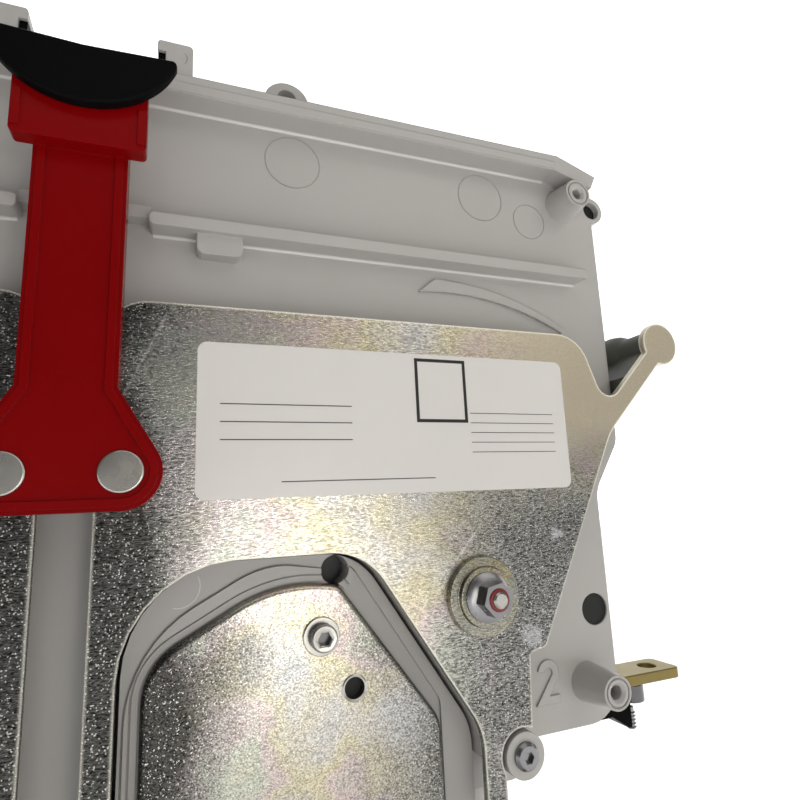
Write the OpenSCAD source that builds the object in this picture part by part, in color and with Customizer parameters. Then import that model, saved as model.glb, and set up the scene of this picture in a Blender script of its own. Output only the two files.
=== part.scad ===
// High voltage contactor: a lift-off arc chute held by two steel yokes over a drive base.
// Millimetres. X runs across the chute, Y front to back, Z up, the base plate lies on Z = 0.

/* [Chute] */
// Width of the chute above the terminals
chute_w = 415; // [408:1:422]
// Width of the chute beside the terminals
chute_low_w = 388; // [382:1:394]
// Height of the chute wall
chute_h = 236; // [232:1:242]
// Thickness over both chute walls
chute_t = 100; // [90:1:115]
// Thickness of a moulded wall
wall_t = 4; // [3:0.5:5]
// Height of the chute's lower edge above the floor
foot_h = 95; // [88:1:105]
// Height of the top rim proud of the wall
rim_h = 10; // [8:0.5:11]
// Width of the top rim
rim_w = 7.6; // [6:0.2:9]
// Height of the long rib proud of the wall
rib_h = 8.6; // [6:0.2:9]
// Width of the long rib
rib_w = 4.4; // [3.5:0.1:6]

/* [Yokes] */
// Thickness of a steel yoke plate
yoke_t = 3; // [2:0.5:4]
// Gap between a chute wall and its yoke plate
yoke_gap = 9; // [9:0.5:12]
// Half of the gap between the left and right yoke plates
yoke_in = 7; // [5:0.5:8]
// Top edge of a yoke plate above the chute's lower edge
yoke_top = 151.7; // [148:0.5:155]
// Distance of a yoke's knob from the middle
knob_x = 227.2; // [225:0.2:230]
// Diameter of a yoke's knob
knob_d = 18.6; // [17:0.2:20]
// Diameter of the bar that joins a front and a rear yoke plate
bar_d = 15; // [12:0.5:17]
// Distance of a yoke's pivot from the middle
pivot_x = 129.3; // [126:0.5:132]
// Height of a yoke's pivot above the chute's lower edge
pivot_h = 53.4; // [50:0.5:56]
// Diameter of the collar on a pivot
collar_d = 27; // [24:0.5:29]

/* [Locking handle] */
// Width of the red stem
stem_w = 25.2; // [22:0.2:26]
// Distance of a locking pin from the middle
pin_x = 14.3; // [13.5:0.1:15]
// Height of the locking pins above the chute's lower edge
pin_h = 98.3; // [96:0.5:102]
// Diameter of a locking pin
pin_d = 12; // [10:0.5:13]
// Radius of the handle's foot around a pin
lobe_r = 10.8; // [9.5:0.1:12]
// Radius of the black grip
grip_r = 27.6; // [25:0.2:30]

/* [Base] */
// Length of the base plate
base_l = 330; // [300:5:380]
// Depth of the base plate
base_d = 130; // [124:1:150]
// Thickness of the base plate
base_t = 5; // [4:0.5:8]
// Length of the drive housing
drive_l = 300; // [280:5:310]
// Distance of a fixing hole from the base plate's end
fix_end = 20; // [16:1:24]
// Distance of a fixing hole from the base plate's side
fix_side = 11; // [9:0.5:14]
// Width of a fixing hole
fix_d = 9; // [7:0.5:11]

/* [Terminals] */
// Distance of a terminal bar's end from the middle
bar_end = 268; // [262:1:280]
// Width of a terminal bar
bar_w = 20; // [16:1:30]
// Thickness of a terminal bar
bar_t = 5; // [4:0.5:8]
// Diameter of a terminal hole
bar_hole_d = 9; // [6.5:0.5:11]

/* [Hidden] */
$fn = 64;
eps = 0.02;
seat = 0.2;
half_w = chute_w / 2;
half_low = chute_low_w / 2;
half_t = chute_t / 2;
inner_y = half_t - wall_t;
yoke_y = half_t + yoke_gap + yoke_t;
cut_l = 14.5;
cut_r = 126.5;
cut_top = 71.6;
cut_kx = 87;
cut_kz = 10.6;
leg_end = -16;
boss_x = 141.5;
boss_h = 0.4;
boss_r = 7.4;
chamber_h = 96;
split_n = 15;
split_p = 11;
grid_h = chute_h - 18;
rib_at = chute_h - 56.6;
post_at = chute_h - 18.6;
lug_at = chute_h + 8.1;
grip_at = chute_h - 4.2;
block_at = chute_h - 42.4;
block_y = -half_t - 20;
block_t = 5.6;
knob_h = yoke_top - 0.8;
bar_top = foot_h;
upper_tall = 12.7;
lower_tall = 17;
arm_run = 33.9;
arm_w = 11;
knob_from = 205.5;
knob_turn = -310.3;
flange = 6;
flange_t = 14;

moulded = [0.66, 0.64, 0.61];
zinc = [0.72, 0.72, 0.68];
red = [0.55, 0.02, 0.03];
black = [0.05, 0.05, 0.055];
brass = [0.55, 0.47, 0.22];
dark = [0.20, 0.20, 0.21];

function unit(v) = v / norm(v);
function xy(p) = [p.x, p.y];
function turn(d) = d > 180 ? d - 360 : d < -180 ? d + 360 : d;
function sweep(m, r, a, d, n) = [for (i = [0 : n]) m + r * [cos(a + d * i / n), sin(a + d * i / n)]];
function corner(a, b, c, r, n) = r == 0 ? [b] :
    let (u = unit(a - b), v = unit(c - b), h = acos(u * v) / 2,
        m = b + unit(u + v) * r / sin(h), p = b + u * r / tan(h) - m, q = b + v * r / tan(h) - m,
        s = atan2(p.y, p.x))
    sweep(m, r, s, turn(atan2(q.y, q.x) - s), n);
function rounded(pts, n = 7) = let (k = len(pts))
    [for (i = [0 : k - 1]) each
        corner(xy(pts[(i + k - 1) % k]), xy(pts[i]), xy(pts[(i + 1) % k]), pts[i].z, n)];

// Outline of the opening for a pole frame, grown by d
function cut_pts(d, low) = [[cut_r + d, low, 0], [cut_r + d, cut_kz + 0.2955 * d, 22 + d],
    [cut_kx + 0.5437 * d, cut_top + d, 22 + d], [cut_l - d, cut_top + d, 31 + d], [cut_l - d, low, 0]];

// Right side of the chute outline, inset by d
function side_pts(d) = [[half_w - 23.5 - d / 3, chute_h - d, d == 0 ? 5 : 3],
    [half_w - 3.5 - d, chute_h - 7 - d / 2, 4], [half_w - d, chute_h - 14, 4],
    [half_w - d, 109 + d / 2, 10], [half_low - d, 88.5 + d / 2, 14]];

// A flat shape in X and height, laid at depth y and thick toward the front
module panel(y, t) translate([0, y, foot_h]) rotate([90, 0, 0]) linear_extrude(t) children();
module rear() mirror([0, 1, 0]) children();
module left() mirror([1, 0, 0]) children();
module both() { children(); left() children(); }
module peg(x, h, y, t, d) translate([x, y, foot_h + h]) rotate([90, 0, 0]) cylinder(d = d, h = t);

function flip(pts) = [for (i = [len(pts) - 1 : -1 : 0]) [-pts[i].x, pts[i].y, pts[i].z]];
module mirrored_shape(pts) polygon(rounded(concat(pts, flip(pts))));
module end_band() polygon(rounded(concat([[half_low, 12, 0]],
    [for (i = [4 : -1 : 0]) side_pts(0)[i]], [[170, chute_h, 0], [170, chute_h - wall_t, 0]],
    side_pts(wall_t), [[half_low - wall_t, 12, 0]])));

module wall_holes() {
    peg(186.6, 41.5, 1 - inner_y, chute_t, 12.2);
    peg(half_w + 0.5, chute_h - 17.7, 1 - inner_y, chute_t, 8.4);
}

module post(x, h, tall, low_d, top_d) {
    translate([x, eps - half_t, foot_h + h]) rotate([90, 0, 0])
        cylinder(d1 = low_d, d2 = top_d, h = tall + eps);
}

module countersink(x, h, tall, d) translate([x, -half_t - tall - eps, foot_h + h]) rotate([-90, 0, 0])
    cylinder(d1 = d + 2.2, d2 = d, h = 1.1);

// A fine ring groove in the tip of a post
module tip_groove(x, h, tall, d) translate([x, -half_t - tall - eps, foot_h + h]) rotate([-90, 0, 0])
    difference() {
        cylinder(d = d, h = 0.6);
        translate([0, 0, -1]) cylinder(d = d - 1.2, h = 3);
    }

module chute_wall() color(moulded) difference() {
    union() {
        panel(eps - inner_y, wall_t + eps) difference() {
            union() {
                mirrored_shape(concat(side_pts(0), [[half_low, 0, 14]]));
                both() translate([half_w + 0.5, chute_h - 17.7]) circle(d = 12.6);
                both() translate([boss_x, boss_h]) circle(r = boss_r);
            }
            both() polygon(rounded(cut_pts(0.5, -1)));
        }
        both() panel(-seat / 2, inner_y) end_band();
        panel(-half_t + eps, rim_h + eps) mirrored_shape([[half_w - 24, chute_h - 0.4, 0],
            [half_w - 4.2, chute_h - 7.2, 0], [half_w - 7, chute_h - 13, 0],
            [half_w - 25.5, chute_h - rim_w, 0]]);
        both() panel(-half_t + eps, rib_h + eps) polygon(rounded([[18.4, rib_at, 1.5],
            [194.4, rib_at, 1.5], [194.4, rib_at + rib_w, 1.5], [18.4, rib_at + rib_w, 1.5]]));
        panel(-half_t + eps, rib_h - 3) translate([-18.6, rib_at + 3.2]) square([37.2, 4.4]);
        both() panel(-half_t + eps, rib_h - 2.6) polygon(rounded([[33.3, rib_at - 7.2, 2.5],
            [48.4, rib_at - 7.2, 2.5], [48.4, rib_at + 0.6, 0], [33.3, rib_at + 0.6, 0]]));
        both() panel(-half_t + eps, rim_h - 1) polygon(rounded([[19.2, chute_h - 4, 0],
            [30.7, chute_h - 4, 0], [30.7, chute_h + 12.1, 1.6], [19.2, chute_h + 12.1, 1.2],
            [19.2, chute_h + 8.2, 0.3], [21.8, chute_h + 8.2, 0.3], [21.8, chute_h + 2, 0.3],
            [19.2, chute_h + 2, 0.3]]));
        both() panel(-inner_y + 8, 8 + eps) difference() {
            union() {
                translate([66, lug_at]) circle(r = 8.8);
                translate([55, chute_h - 3]) square([22, 8]);
            }
            translate([66, lug_at + 2.2]) circle(d = 7.2);
        }
        both() peg(66, lug_at + 2.2, 8 - inner_y, 1.5, 8);
        both() panel(-half_t + eps, 8) difference() {
            polygon(rounded(cut_pts(2.5, 1)));
            polygon(rounded(cut_pts(0.5, -1)));
        }
        both() post(190.5, post_at, upper_tall, 16, 12.6);
        both() post(179.5, 15.5, lower_tall, 14.6, 12.2);
        both() post(boss_x, boss_h, yoke_gap + yoke_t + 0.8, 2 * boss_r + 0.6, 2 * boss_r + 0.2);
        both() post(pivot_x, pivot_h, yoke_gap - 0.3, 34, 30);
    }
    both() wall_holes();
    both() peg(190.5, post_at, 1 - inner_y, chute_t, 4.2);
    both() peg(179.5, 15.5, 1 - inner_y, chute_t, 5);
    both() countersink(190.5, post_at, upper_tall, 4.2);
    both() countersink(179.5, 15.5, lower_tall, 5);
    both() tip_groove(190.5, post_at, upper_tall, 10.6);
    both() tip_groove(179.5, 15.5, lower_tall, 10.4);
}
module chute_wall_front() chute_wall();
module chute_wall_rear() rear() chute_wall();

module arc_chamber() color(dark) translate([0, inner_y, foot_h + 9]) rotate([90, 0, 0])
    linear_extrude(2 * inner_y) {
        translate([-half_low + wall_t, 0]) square([2 * (half_low - wall_t), chamber_h - 18]);
        translate([-half_low + 22, chamber_h - 19]) square([2 * (half_low - 22), 10]);
        translate([-12, chamber_h - 10]) square([24, grid_h - chamber_h + 1]);
    }

module splitters() color(zinc) for (i = [0 : split_n - 1])
    translate([24 + split_p * i, -inner_y, foot_h + chamber_h])
        cube([2, 2 * inner_y, grid_h - chamber_h]);
module splitters_left() left() splitters();
module splitters_right() splitters();

module chute_grid() color(dark) difference() {
    translate([-half_w + 28, -inner_y, foot_h + grid_h])
        cube([chute_w - 56, 2 * inner_y, chute_h - grid_h - wall_t - 1]);
    both() for (i = [0 : split_n - 2])
        translate([24 + split_p * i + 3.5, 10 - inner_y, foot_h + grid_h - 1])
            cube([split_p - 5, 2 * inner_y - 20, chute_h]);
}

module pole_frame() color(moulded) {
    panel(-inner_y, wall_t + 3) difference() {
        polygon(rounded(cut_pts(-0.7, -60)));
        translate([78.8, 66]) circle(d = 9.6);
        translate([78.8 - 1.6, 56]) square([3.2, 10]);
    }
    panel(-half_t - 3 + eps, 1.3) difference() {
        polygon(rounded(cut_pts(-0.7, -60)));
        polygon(rounded(cut_pts(-5.4, -61)));
        translate([78.8, 66]) circle(d = 9.6);
    }
}
module pole_frame_front_right() pole_frame();
module pole_frame_front_left() left() pole_frame();
module pole_frame_rear_right() rear() pole_frame();
module pole_frame_rear_left() rear() left() pole_frame();

module pole_plate() color(zinc) panel(-half_t - 3, 3.5) difference() {
    polygon(rounded([[20.8, -44, 8], [113.2, -44, 8], [113.2, 15.5, 9], [100, 29.7, 12],
        [75.8, 71.5, 24], [20.8, 43.4, 20]]));
    translate([83.8, 28.8]) circle(d = 6.7);
    translate([73.2, 45.8]) circle(d = 5.4);
}
module pole_plate_front_right() pole_plate();
module pole_plate_front_left() left() pole_plate();
module pole_plate_rear_right() rear() pole_plate();
module pole_plate_rear_left() rear() left() pole_plate();

// Height of a yoke arm's upper edge at x
function arm_h(x) = knob_h - 3.1 + (x - knob_x + 7.5) * 0.995;

module yoke() color(zinc) panel(yoke_t - yoke_y, yoke_t) difference() {
    polygon(rounded(concat([[yoke_in, yoke_top, 13], [knob_x - 44.6, yoke_top, 15],
        [knob_x - arm_run, arm_h(knob_x - arm_run), 6.3]],
        [for (p = sweep([knob_x, knob_h], knob_d / 2, knob_from, knob_turn, 40)) [p.x, p.y, 0]],
        [[knob_x - 33.1, arm_h(knob_x - 33.1) - arm_w, 30],
        [boss_x + 12.5, boss_h + 33.1, 3], [boss_x + 5.7, boss_h + 32.1, 2],
        [boss_x + 3.9, boss_h + 4.6, 0], [boss_x - 7.5, boss_h + 4.6, 0],
        [boss_x - 7.5, leg_end, 3.4], [cut_r, leg_end, 3.4], [cut_r, cut_kz, 22],
        [cut_kx, cut_top, 22], [cut_l, cut_top, 31], [cut_l, leg_end, 3.4],
        [yoke_in, leg_end, 3.4]])));
    translate([boss_x, boss_h]) circle(r = boss_r + 1.2);
    translate([pivot_x, pivot_h]) circle(d = 12.4);
    translate([pin_x, pin_h]) circle(d = pin_d + 0.6);
}
module yoke_front_right() yoke();
module yoke_front_left() left() yoke();
module yoke_rear_right() rear() yoke();
module yoke_rear_left() rear() left() yoke();

module cross_bar() color(moulded) {
    end_y = yoke_y - yoke_t;
    web_x = half_w + 1.1;
    neck = bar_d / 2 - 0.2;
    half = [[neck + 3.1, end_y - 23], [neck + 2.4, end_y - 19], [neck, end_y - 14], [neck, end_y]];
    translate([knob_x, 0, foot_h + knob_h]) rotate([90, 0, 0]) rotate_extrude()
        polygon(concat([[0, -end_y]], [for (i = [3 : -1 : 0]) [half[i].x, -half[i].y]], half,
            [[0, end_y]]));
    panel(end_y, 2 * end_y) polygon([[web_x, arm_h(web_x) - 0.6], [knob_x - 5, arm_h(knob_x - 5) - 0.6],
        [knob_x - 2.4, arm_h(knob_x - 2.4) - arm_w + 0.6], [web_x, arm_h(web_x) - arm_w + 0.6]]);
}
module cross_bar_right() cross_bar();
module cross_bar_left() left() cross_bar();

module pivot() color(zinc) {
    peg(pivot_x, pivot_h, 0.1 - half_t - yoke_gap, yoke_t + 1, 12);
    peg(pivot_x, pivot_h, eps - yoke_y, 2.6, collar_d);
    peg(pivot_x, pivot_h, 2 * eps - yoke_y - 2.6, 1.8, 20.4);
}
module pivot_front_right() pivot();
module pivot_front_left() left() pivot();
module pivot_rear_right() rear() pivot();
module pivot_rear_left() rear() left() pivot();

// Outline of the red handle, inset by d
module handle_profile(d) {
    a = 31;
    r = lobe_r - d;
    half = stem_w / 2 - d;
    tx = pin_x + r * cos(a);
    th = pin_h + r * sin(a);
    kh = th + (tx - half) / sin(a) * cos(a);
    polygon([[-pin_x, pin_h - r], [pin_x, pin_h - r], [tx, th], [half, kh], [-half, kh], [-tx, th]]);
    both() translate([pin_x, pin_h]) circle(r = r);
    translate([-half, kh - eps]) square([2 * half, block_at + 20 - kh - d]);
}
module handle() color(red) {
    panel(-yoke_y - seat, 8) difference() {
        handle_profile(0);
        both() translate([pin_x, pin_h]) circle(d = pin_d);
    }
    panel(-yoke_y - seat - 7.9, 0.9) difference() {
        handle_profile(1.2);
        handle_profile(3.4);
    }
    panel(block_y, block_t) polygon(rounded([[-17.8, block_at, 1.5], [17.8, block_at, 1.5],
        [17.8, block_at + 28, 1.5], [-17.8, block_at + 28, 1.5]]));
    both() panel(block_y - block_t + eps, 0.7) translate([15.2, block_at + 2]) square([2.2, 11.5]);
}
module handle_front() handle();
module handle_rear() rear() handle();

module grip() color(black) panel(block_y - block_t, 4.2) intersection() {
    translate([0, grip_at]) circle(r = grip_r);
    polygon(rounded([[-grip_r + 1.8, grip_at - 2 * grip_r, 0], [grip_r - 1.8, grip_at - 2 * grip_r, 0],
        [grip_r - 1.8, grip_at - 7.6, 1.5], [0, grip_at - 8.8, 0], [1.8 - grip_r, grip_at - 7.6, 1.5]]));
}
module grip_front() grip();
module grip_rear() rear() grip();

module lock_pins() color(zinc) both() peg(pin_x, pin_h, -half_t, yoke_y - half_t + 9, pin_d);
module lock_pins_front() lock_pins();
module lock_pins_rear() rear() lock_pins();

// A rounded oblong in plan
module oblong(half_x, half_y, r) polygon(rounded([[half_x, half_y, r], [-half_x, half_y, r],
    [-half_x, -half_y, r], [half_x, -half_y, r]]));

module drive_housing() color(moulded) {
    translate([0, 0, base_t]) linear_extrude(foot_h - base_t - 1)
        oblong(drive_l / 2 - flange, inner_y - flange, 12);
    translate([0, 0, base_t]) linear_extrude(flange_t / 2) oblong(drive_l / 2, inner_y, 5);
    translate([0, 0, foot_h - flange_t]) linear_extrude(flange_t) oblong(drive_l / 2, inner_y, 5);
    for (x = [-2 : 2], s = [0, 1]) mirror([0, s, 0])
        translate([x * drive_l / 5.5 - 2, flange - inner_y - 3, base_t + 1])
            cube([4, 4, foot_h - base_t - flange_t]);
}

module drive_cover() color(black) translate([drive_l / 2 - flange, 0, base_t + flange_t])
    linear_extrude(foot_h - base_t - 2 * flange_t - 2) polygon(rounded([[0, 16 - inner_y, 0],
        [flange + 3, 16 - inner_y, 4], [flange + 3, inner_y - 16, 4], [0, inner_y - 16, 0]]));
module drive_cover_right() drive_cover();
module drive_cover_left() left() drive_cover();

module terminal_block() color(black) translate([0, bar_w / 2 + 2, 0]) rotate([90, 0, 0])
    linear_extrude(bar_w + 4) polygon(rounded([[drive_l / 2, bar_top - bar_t - 11, 0],
        [bar_end - 46, bar_top - bar_t - 11, 3], [bar_end - 37, bar_top - bar_t - 17, 2],
        [bar_end - 35, bar_top - bar_t - 17, 0], [bar_end - 35, bar_top - bar_t, 0],
        [drive_l / 2, bar_top - bar_t, 0]]));
module terminal_block_right() terminal_block();
module terminal_block_left() left() terminal_block();

module terminal_bar() color(brass) difference() {
    translate([0, 0, bar_top - bar_t]) linear_extrude(bar_t) polygon(rounded([
        [drive_l / 2 + 2, -bar_w / 2, 0], [bar_end, -bar_w / 2, 3], [bar_end, bar_w / 2, 3],
        [drive_l / 2 + 2, bar_w / 2, 0]]));
    translate([bar_end - 12, 0, bar_top - 2 * bar_t]) cylinder(d = bar_hole_d, h = 3 * bar_t);
}
module terminal_bar_right() terminal_bar();
module terminal_bar_left() left() terminal_bar();

module base_plate() color(zinc) difference() {
    linear_extrude(base_t) oblong(base_l / 2, base_d / 2, 8);
    for (x = [-1, 1], y = [-1, 1])
        translate([x * (base_l / 2 - fix_end), y * (base_d / 2 - fix_side), -1])
            cylinder(d = fix_d, h = base_t + 2);
}

base_plate();
drive_housing();
drive_cover_left();
drive_cover_right();
terminal_block_left();
terminal_block_right();
terminal_bar_left();
terminal_bar_right();
chute_wall_front();
chute_wall_rear();
arc_chamber();
splitters_left();
splitters_right();
chute_grid();
pole_frame_front_left();
pole_frame_front_right();
pole_frame_rear_left();
pole_frame_rear_right();
pole_plate_front_left();
pole_plate_front_right();
pole_plate_rear_left();
pole_plate_rear_right();
yoke_front_left();
yoke_front_right();
yoke_rear_left();
yoke_rear_right();
cross_bar_left();
cross_bar_right();
pivot_front_left();
pivot_front_right();
pivot_rear_left();
pivot_rear_right();
handle_front();
handle_rear();
grip_front();
grip_rear();
lock_pins_front();
lock_pins_rear();
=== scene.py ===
import math

import bmesh
import bpy
from mathutils import Matrix, Vector


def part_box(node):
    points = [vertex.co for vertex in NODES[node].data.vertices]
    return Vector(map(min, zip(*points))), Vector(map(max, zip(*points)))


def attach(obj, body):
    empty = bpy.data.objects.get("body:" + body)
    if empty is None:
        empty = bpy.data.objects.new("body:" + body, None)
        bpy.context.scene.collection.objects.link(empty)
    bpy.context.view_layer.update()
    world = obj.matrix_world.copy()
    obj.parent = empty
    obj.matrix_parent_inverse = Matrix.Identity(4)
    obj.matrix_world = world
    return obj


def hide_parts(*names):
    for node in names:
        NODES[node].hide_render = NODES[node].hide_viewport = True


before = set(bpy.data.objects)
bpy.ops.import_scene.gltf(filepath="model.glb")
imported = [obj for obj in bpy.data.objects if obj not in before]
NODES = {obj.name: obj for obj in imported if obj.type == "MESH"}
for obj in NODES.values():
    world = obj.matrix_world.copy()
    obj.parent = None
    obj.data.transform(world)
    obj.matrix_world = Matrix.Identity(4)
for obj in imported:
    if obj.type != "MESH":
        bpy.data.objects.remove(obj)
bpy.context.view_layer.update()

MM = 0.001

# Levels of the solids that the small pieces sit on
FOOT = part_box("drive_housing")[1][2]
WALL_Y = -0.050
YOKE_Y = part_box("yoke_front_right")[0][1]
POLE_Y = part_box("pole_plate_front_right")[0][1]
PIVOT_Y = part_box("pivot_front_right")[0][1]

# Places in millimetres: distance from the middle, height above the chute's lower edge
PIVOT = (129.3, 53.4)
CAP_SCREW = (73.2, 45.8)
BOSS = (141.5, 0.4)
PLAIN_HOLE = (83.8, 28.8)
WALL_HOLE = (186.6, 41.5)
EAR_HOLE = (208.0, 218.3)


def place(x, h, y):
    """A point in metres from millimetres across and up the front, at depth y."""
    return Vector((x * MM, y, FOOT + h * MM))


# Shader node groups


def group(name, inputs, outputs):
    """A new shader node group with its sockets."""
    tree = bpy.data.node_groups.new(name, "ShaderNodeTree")
    for label, kind, value in inputs:
        socket = tree.interface.new_socket(name=label, in_out="INPUT", socket_type=kind)
        socket.default_value = value
    for label, kind in outputs:
        tree.interface.new_socket(name=label, in_out="OUTPUT", socket_type=kind)
    start = tree.nodes.new("NodeGroupInput")
    end = tree.nodes.new("NodeGroupOutput")
    return tree, start, end


def add(tree, kind, **values):
    made = tree.nodes.new(kind)
    for key, value in values.items():
        setattr(made, key, value)
    return made


def join(tree, source, target):
    tree.links.new(source, target)


def noise(tree, vector, scale, detail=2.0, rough=0.5):
    """A noise value, with a fixed or a fed scale."""
    made = add(tree, "ShaderNodeTexNoise")
    made.inputs["Detail"].default_value = detail
    made.inputs["Roughness"].default_value = rough
    if isinstance(scale, (int, float)):
        made.inputs["Scale"].default_value = scale
    else:
        join(tree, scale, made.inputs["Scale"])
    join(tree, vector, made.inputs["Vector"])
    return made.outputs["Fac"]


def span(tree, value, low, high, out_low=0.0, out_high=1.0):
    """A value mapped from one range to another."""
    made = add(tree, "ShaderNodeMapRange")
    for name, edge in (("From Min", low), ("From Max", high)):
        if isinstance(edge, (int, float)):
            made.inputs[name].default_value = edge
        else:
            join(tree, edge, made.inputs[name])
    made.inputs["To Min"].default_value = out_low
    made.inputs["To Max"].default_value = out_high
    join(tree, value, made.inputs["Value"])
    return made.outputs["Result"]


def math_node(tree, operation, a, b):
    made = add(tree, "ShaderNodeMath", operation=operation)
    for index, value in enumerate((a, b)):
        if isinstance(value, (int, float)):
            made.inputs[index].default_value = value
        else:
            join(tree, value, made.inputs[index])
    return made.outputs[0]


def blend_colour(tree, fac, a, b, mode="MIX"):
    """Two colours blended by a factor."""
    made = add(tree, "ShaderNodeMix", data_type="RGBA", blend_type=mode)
    for socket, value in zip((made.inputs[0], made.inputs[6], made.inputs[7]), (fac, a, b)):
        if isinstance(value, (int, float)):
            socket.default_value = value
        elif isinstance(value, tuple):
            socket.default_value = (*value, 1.0)
        else:
            join(tree, value, socket)
    return made.outputs[2]


def ramp(tree, value, stops):
    """A colour read off a row of stops."""
    made = add(tree, "ShaderNodeValToRGB")
    ends = made.color_ramp.elements
    while len(ends) < len(stops):
        ends.new(0.5)
    for mark, (spot, colour) in zip(ends, stops):
        mark.position = spot
        mark.color = (*colour, 1.0)
    join(tree, value, made.inputs["Fac"])
    return made.outputs["Color"]


def make_grain():
    """Fine surface grain: a height for bump and a slow mask for unevenness."""
    tree, start, end = group(
        "fine_grain",
        [("Vector", "NodeSocketVector", (0, 0, 0)), ("Scale", "NodeSocketFloat", 900.0),
         ("Unevenness", "NodeSocketFloat", 14.0)],
        [("Height", "NodeSocketFloat"), ("Mask", "NodeSocketFloat")])
    fine = noise(tree, start.outputs["Vector"], start.outputs["Scale"], 3.0, 0.6)
    slow = noise(tree, start.outputs["Vector"], start.outputs["Unevenness"], 3.0, 0.55)
    join(tree, fine, end.inputs["Height"])
    join(tree, span(tree, slow, 0.3, 0.7), end.inputs["Mask"])
    return tree


def make_spangle():
    """Zinc crystals: a speckle of bright and dark grains, sparse cells for painted glints, and the grains'
    tilt as a height.
    """
    tree, start, end = group(
        "zinc_spangle",
        [("Vector", "NodeSocketVector", (0, 0, 0)), ("Scale", "NodeSocketFloat", 1800.0),
         ("Brushing", "NodeSocketVector", (0.30, 1.0, 1.0))],
        [("Speckle", "NodeSocketFloat"), ("Glint", "NodeSocketFloat"), ("Height", "NodeSocketFloat")])
    brushed = add(tree, "ShaderNodeVectorMath", operation="MULTIPLY")
    join(tree, start.outputs["Vector"], brushed.inputs[0])
    join(tree, start.outputs["Brushing"], brushed.inputs[1])
    vector = brushed.outputs["Vector"]
    fine = noise(tree, vector, start.outputs["Scale"], 2.0, 0.6)
    cells = add(tree, "ShaderNodeTexVoronoi", feature="F1")
    join(tree, start.outputs["Vector"], cells.inputs["Vector"])
    join(tree, math_node(tree, "MULTIPLY", start.outputs["Scale"], 1.1), cells.inputs["Scale"])
    tone = add(tree, "ShaderNodeSeparateColor")
    join(tree, cells.outputs["Color"], tone.inputs[0])
    join(tree, span(tree, fine, 0.36, 0.64), end.inputs["Speckle"])
    join(tree, span(tree, tone.outputs[1], 0.92, 0.97), end.inputs["Glint"])
    join(tree, fine, end.inputs["Height"])
    return tree


# The film on the zinc: its tints, and where it and the painted shade change, in metres from the middle and
# above the floor
TINTS = [(0.0, (0.80, 0.86, 0.98)), (0.22, (0.95, 0.95, 0.94)), (0.42, (1.0, 0.94, 0.66)),
         (0.58, (1.0, 0.83, 0.88)), (0.76, (0.86, 0.95, 0.80)), (1.0, (0.98, 0.92, 0.74))]
WARM_TINT = (0.97, 0.88, 0.68)
COOL_TINT = (0.80, 0.86, 0.95)
OUTER_TINT = (0.88, 0.92, 0.97)
PALE_TINT = (0.95, 0.94, 0.90)
FILM_DRIFT = 0.012
OUTER_FADE = 0.030
LOWER_SHADE = (0.205, 0.165)
CORNER_OUT = (0.120, 0.165)
CORNER_UP = (0.190, 0.215)
COOL_MIDDLE = (0.02, 0.07)


def make_film_and_shade():
    """Film on passivated zinc: a slow rainbow tint, with painted shade at the inner and lower outer edges.
    """
    tree, start, end = group(
        "film_and_painted_shade",
        [("Vector", "NodeSocketVector", (0, 0, 0)), ("Scale", "NodeSocketFloat", 16.0),
         ("Dark Edge", "NodeSocketFloat", 0.016), ("Clear Edge", "NodeSocketFloat", 0.062),
         ("Outer Edge", "NodeSocketFloat", 0.108)],
        [("Tint", "NodeSocketColor"), ("Painted Shade", "NodeSocketFloat"), ("Haze", "NodeSocketFloat")])
    vector = start.outputs["Vector"]
    slow = noise(tree, vector, start.outputs["Scale"], 3.0, 0.6)
    tint = ramp(tree, span(tree, slow, 0.30, 0.70), TINTS)
    apart = add(tree, "ShaderNodeSeparateXYZ")
    join(tree, vector, apart.inputs[0])
    drift = span(tree, slow, 0.3, 0.7, -FILM_DRIFT, FILM_DRIFT)
    out = math_node(tree, "ADD", math_node(tree, "ABSOLUTE", apart.outputs["X"], 0.0), drift)
    up = math_node(tree, "ADD", apart.outputs["Z"], drift)
    # Painted shade: darker towards the middle and at the lower outer edges, sent out to darken the zinc's
    # colour
    inner = span(tree, out, start.outputs["Dark Edge"], start.outputs["Clear Edge"], 0.14, 1.0)
    rim = math_node(tree, "ADD", start.outputs["Outer Edge"], OUTER_FADE)
    outer = math_node(tree, "MULTIPLY", span(tree, out, start.outputs["Outer Edge"], rim),
                      span(tree, up, *LOWER_SHADE))
    corner = math_node(tree, "MULTIPLY", span(tree, out, *CORNER_OUT), span(tree, up, *CORNER_UP))
    warm = blend_colour(tree, corner, tint, WARM_TINT)
    cool = blend_colour(tree, span(tree, out, *COOL_MIDDLE, 0.75, 0.0), warm, COOL_TINT)
    plain = blend_colour(tree, math_node(tree, "MULTIPLY", outer, 0.8), cool, OUTER_TINT)
    pale = blend_colour(tree, 0.22, plain, PALE_TINT)
    shade = span(tree, outer, 0.0, 1.0, 1.0, 0.36)
    join(tree, pale, end.inputs["Tint"])
    join(tree, math_node(tree, "MULTIPLY", inner, shade), end.inputs["Painted Shade"])
    join(tree, corner, end.inputs["Haze"])
    return tree


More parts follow.
